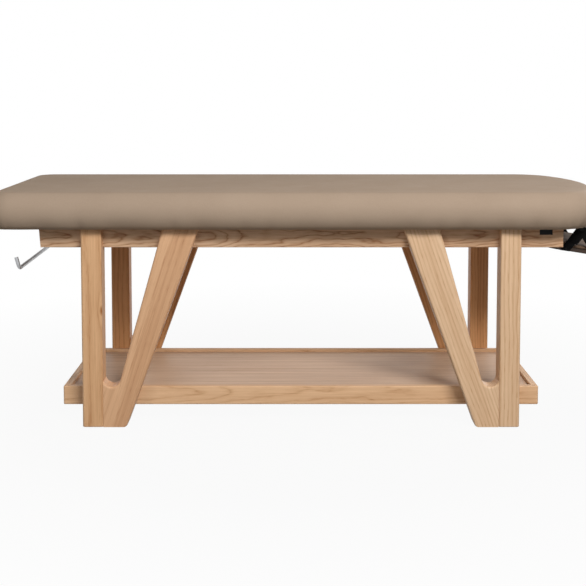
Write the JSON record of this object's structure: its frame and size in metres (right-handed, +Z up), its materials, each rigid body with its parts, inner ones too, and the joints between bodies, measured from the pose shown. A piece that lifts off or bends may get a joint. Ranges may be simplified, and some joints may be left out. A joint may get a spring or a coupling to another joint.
{
  "type": "treatment table",
  "caption": "Fixed wooden treatment table with a padded vinyl top, V-shaped legs, a tray shelf, a swinging paper roll bar and an arm rest hung on straps.",
  "frame": {"origin": "bottom centre of the table's box, on the floor", "axes": "+X towards the bowed head end, -Y the front, +Z up"},
  "size_m": [1.999, 0.75, 0.747],
  "materials": {
    "vinyl": "soft grained vinyl, satin",
    "foam": "open-cell foam",
    "plywood": "satin lacquered plywood",
    "wood": "satin lacquered softwood with straight grain",
    "dowel": "plain beech",
    "glide": "nylon",
    "plate": "blank satin black plate",
    "webbing": "black woven webbing",
    "black_steel": "black painted steel",
    "steel": "satin steel",
    "zinc": "zinc plated steel",
    "bush": "white nylon"
  },
  "bodies": {
    "table": {"cover": "vinyl", "foam_core": "foam", "deck_board": "plywood", "tray_panel": "plywood", "tray_battens": "wood", "rail_dowels": "dowel", "leg_dowels": "dowel", "tray_dowels": "dowel", "foot_glides": "glide", "label_plate": "plate", "front_hanger": "black_steel", "back_hanger": "black_steel", "hanger_pins": "black_steel", "roll_bracket": "steel", "roll_bush": "bush", "front_rail": "wood", "back_rail": "wood", "foot_cross_rail": "wood", "middle_cross_rail": "wood", "head_cross_rail": "wood", "tray_front_rim": "wood", "tray_back_rim": "wood", "tray_head_rim": "wood", "tray_foot_rim": "wood", "head_front_post": "wood", "head_front_brace": "wood", "head_back_post": "wood", "head_back_brace": "wood", "foot_front_post": "wood", "foot_front_brace": "wood", "foot_back_post": "wood", "foot_back_brace": "wood", "deck_screws": "zinc", "leg_bolts": "zinc", "leg_washers": "zinc", "leg_inserts": "zinc", "tray_bolts": "zinc", "tray_washers": "zinc", "tray_inserts": "zinc", "batten_screws": "zinc", "roll_screws": "zinc", "hanger_screws": "zinc"},
    "roll_holder": {"roll_bar": "steel", "roll_collar": "steel"},
    "arm_rest": {"arm_rest_board": "plywood", "arm_rest_pad": "vinyl", "front_strap": "webbing", "back_strap": "webbing", "strap_tails": "webbing", "strap_eyelets": "black_steel", "strap_screws": "zinc"}
  },
  "joints": [
    {"name": "roll_bar_swing", "type": "hinge", "parent": "table", "child": "roll_holder", "pos_m": [-0.90193, 0.26, 0.6], "axis": [0, 0, 1], "range_deg": [-90, 0]},
    {"name": "arm_rest_swing", "type": "hinge", "parent": "table", "child": "arm_rest", "pos_m": [0.88797, 0, 0.614], "axis": [0, 1, 0], "range_deg": [-25, 25]}
  ]
}
